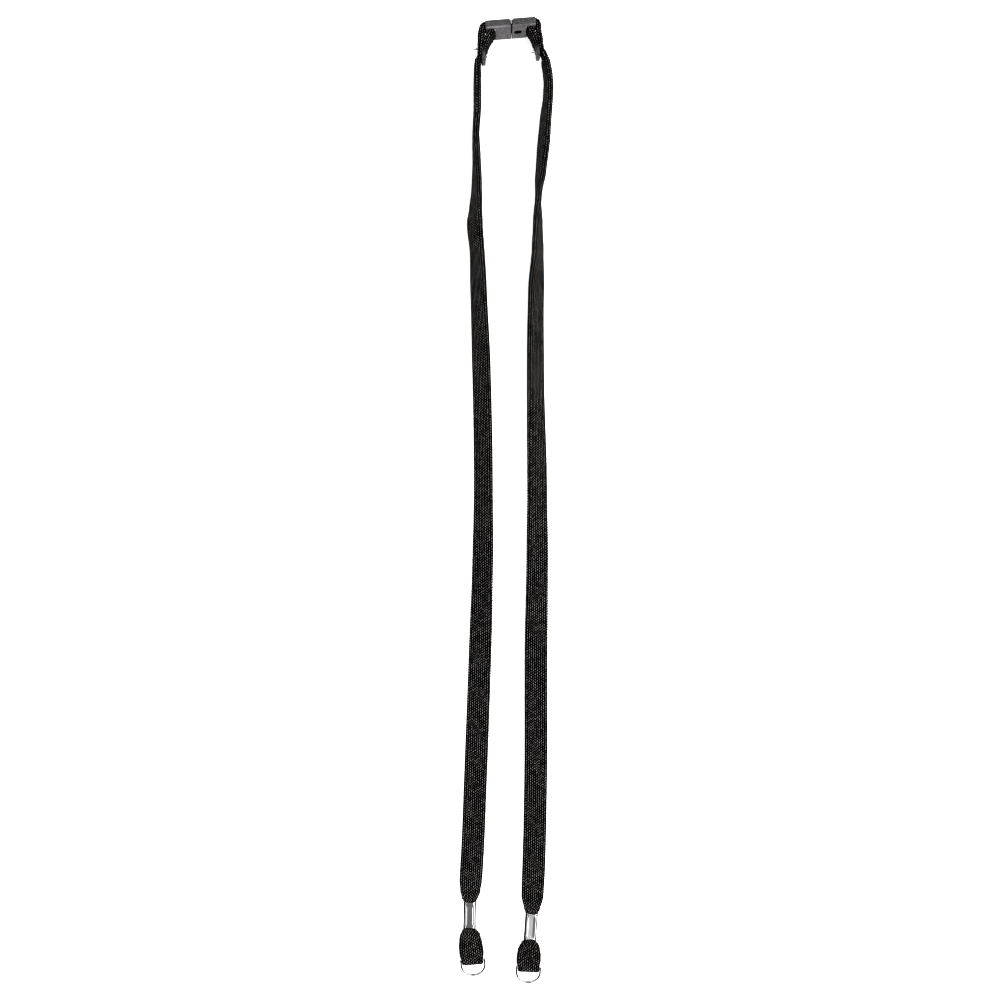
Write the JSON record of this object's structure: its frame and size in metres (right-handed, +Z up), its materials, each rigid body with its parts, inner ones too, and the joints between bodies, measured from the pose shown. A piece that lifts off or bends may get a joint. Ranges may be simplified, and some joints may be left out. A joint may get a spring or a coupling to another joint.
{
  "type": "eyeglass retainer strap",
  "caption": "Black flat braided eyeglass retainer strap with a breakaway buckle, crimped chrome ferrules and half-round end rings.",
  "frame": {"origin": "bottom centre of the bounding box of the buckle, ferrules and rings, on the table the strap lies on", "axes": "+Y along the strap from the end rings to the buckle, +Z up from the table, +X towards the female buckle half's strap"},
  "size_m": [0.0427, 0.4392, 0.015],
  "materials": {
    "braid": "woven",
    "thread": "twisted",
    "buckle_plastic": "satin",
    "chrome": "polished"
  },
  "bodies": {
    "female_side": {"female_buckle_half": "buckle_plastic", "right_strap": "braid", "right_bar_tack": "thread", "right_ferrule": "chrome"},
    "male_side": {"male_buckle_half": "buckle_plastic", "left_strap": "braid", "left_bar_tack": "thread", "left_ferrule": "chrome"},
    "left_ring": {"left_end_ring": "chrome"},
    "right_ring": {"right_end_ring": "chrome"}
  },
  "joints": [
    {"name": "breakaway_pull", "type": "slide", "parent": "female_side", "child": "male_side", "axis": [-0.9969, -0.0785, 0], "range_m": [0, 0.006]},
    {"name": "left_ring_swing", "type": "hinge", "parent": "male_side", "child": "left_ring", "pos_m": [-0.0126, -0.2073, 0.00265], "axis": [0.9965, 0.0837, 0], "range_deg": [-100, 90]},
    {"name": "right_ring_swing", "type": "hinge", "parent": "female_side", "child": "right_ring", "pos_m": [0.0131, -0.2106, 0.00265], "axis": [0.9988, -0.0489, 0], "range_deg": [-100, 90]}
  ]
}
